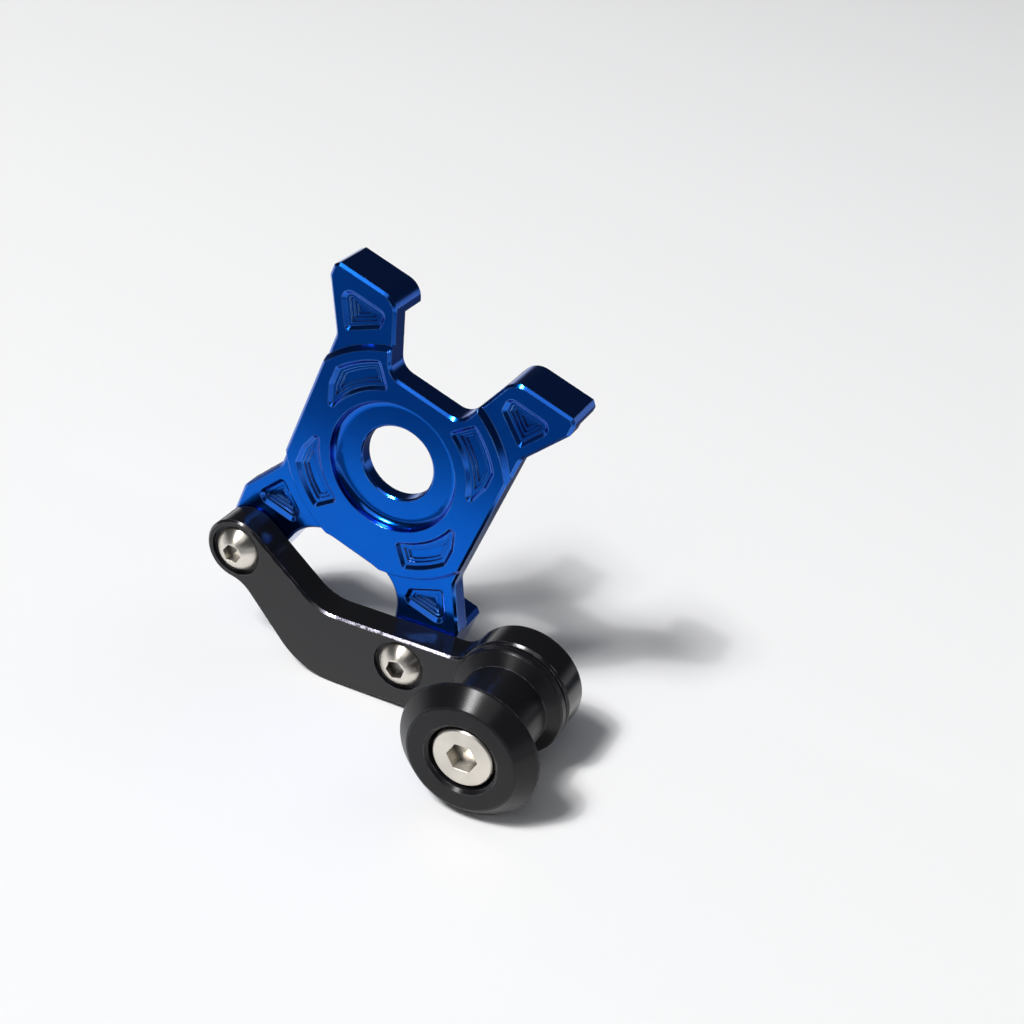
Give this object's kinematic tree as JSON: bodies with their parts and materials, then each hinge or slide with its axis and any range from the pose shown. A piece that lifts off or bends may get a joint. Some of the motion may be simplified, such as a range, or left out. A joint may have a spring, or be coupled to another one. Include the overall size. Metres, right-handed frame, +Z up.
{
  "type": "swingarm spool",
  "caption": "Milled blue axle plate for a motorcycle swingarm with a bolted black arm that carries a turned black stand spool.",
  "frame": {"origin": "centre of the axle hole on the flat back of the plate", "axes": "+Y along the axle, from the plate towards the swingarm; the spool stands out towards -Y; +Z up as the part lies, on the elbow of its arm and the rim of its spool, with the spool on the +X side"},
  "size_m": [0.0943, 0.0464, 0.0975],
  "materials": {
    "plate_blue": "satin blue anodising, bright on its chamfers",
    "arm_black": "satin black anodising, worn on its upper edge",
    "spool_black": "satin black anodising on turned faces",
    "bolt_steel": "brushed",
    "screw_steel": "brushed"
  },
  "bodies": {
    "root": {"axle_plate": "plate_blue", "spool_arm": "arm_black", "spool": "spool_black", "spool_bolt": "bolt_steel", "arm_screw_front": "screw_steel", "arm_screw_rear": "screw_steel"}
  },
  "joints": []
}
